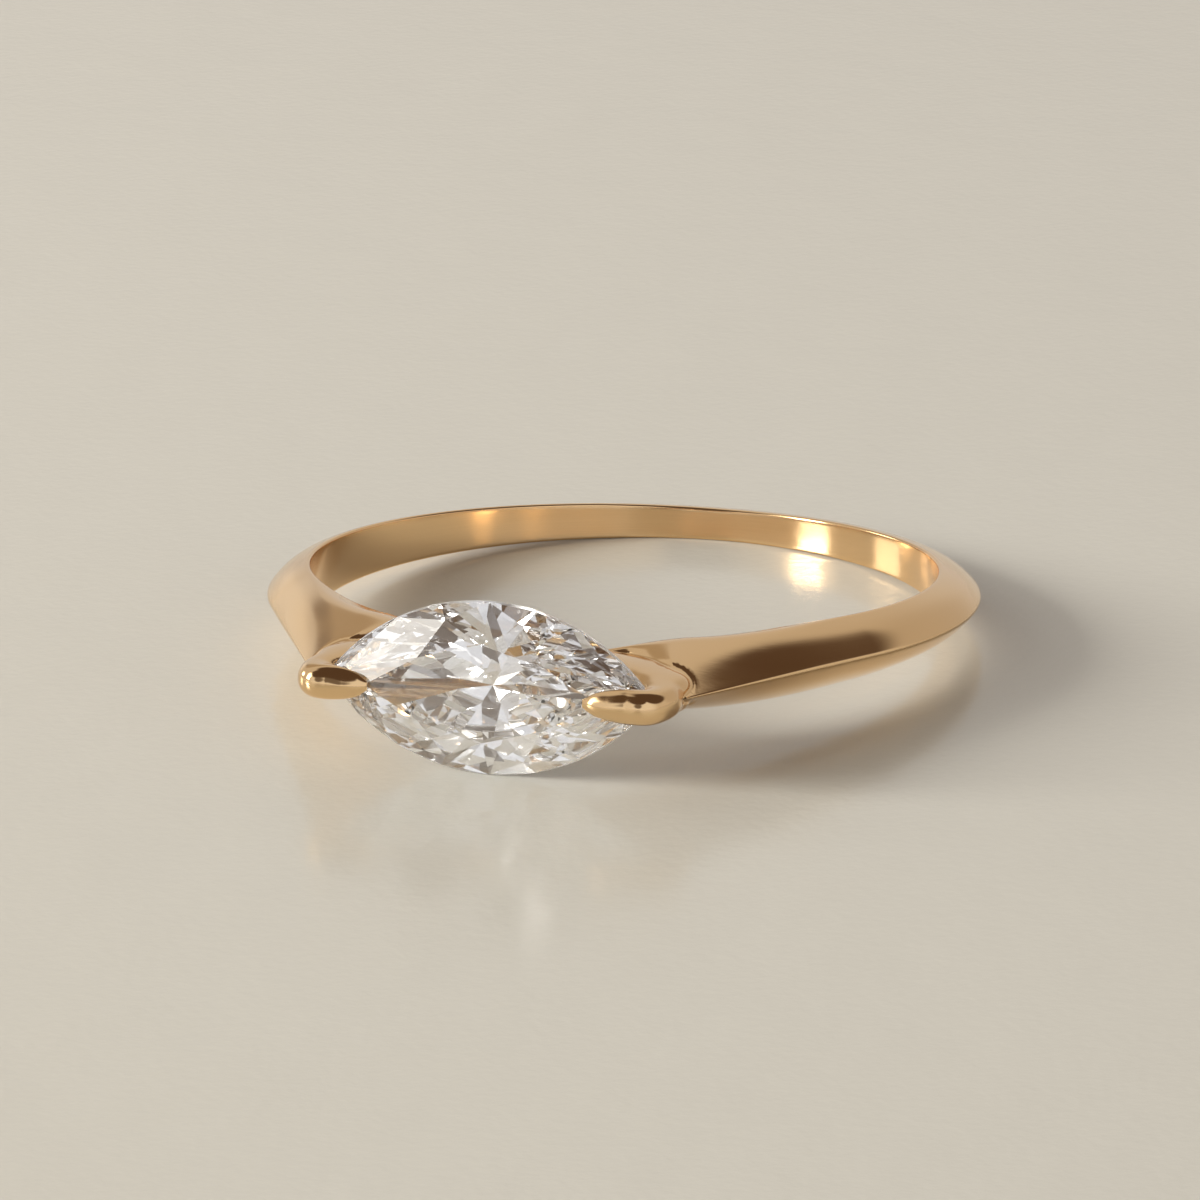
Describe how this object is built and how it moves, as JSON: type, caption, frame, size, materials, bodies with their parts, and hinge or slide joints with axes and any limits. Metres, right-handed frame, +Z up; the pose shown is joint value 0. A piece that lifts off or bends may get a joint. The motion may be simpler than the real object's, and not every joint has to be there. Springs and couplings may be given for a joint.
{
  "type": "east west ring",
  "caption": "Knife-edge finger ring in yellow gold, with a marquise diamond set lengthwise across the finger and held by claws at its tips; it rests on its side.",
  "frame": {"origin": "middle of the finger hole", "axes": "+Z up from the surface that the ring lies on; the stone faces -Y and lies along X; the finger hole's axis leans 5.3 degrees from +Z towards +Y, because the ring lies on the stone's edge and the back of its shank"},
  "size_m": [0.0192, 0.0219, 0.0045],
  "materials": {
    "yellow_gold": "polished 14 karat yellow gold, with fine wear",
    "diamond": "clear, cut and polished facets"
  },
  "bodies": {
    "root": {"gold_mounting": "yellow_gold", "marquise_stone": "diamond"}
  },
  "joints": []
}
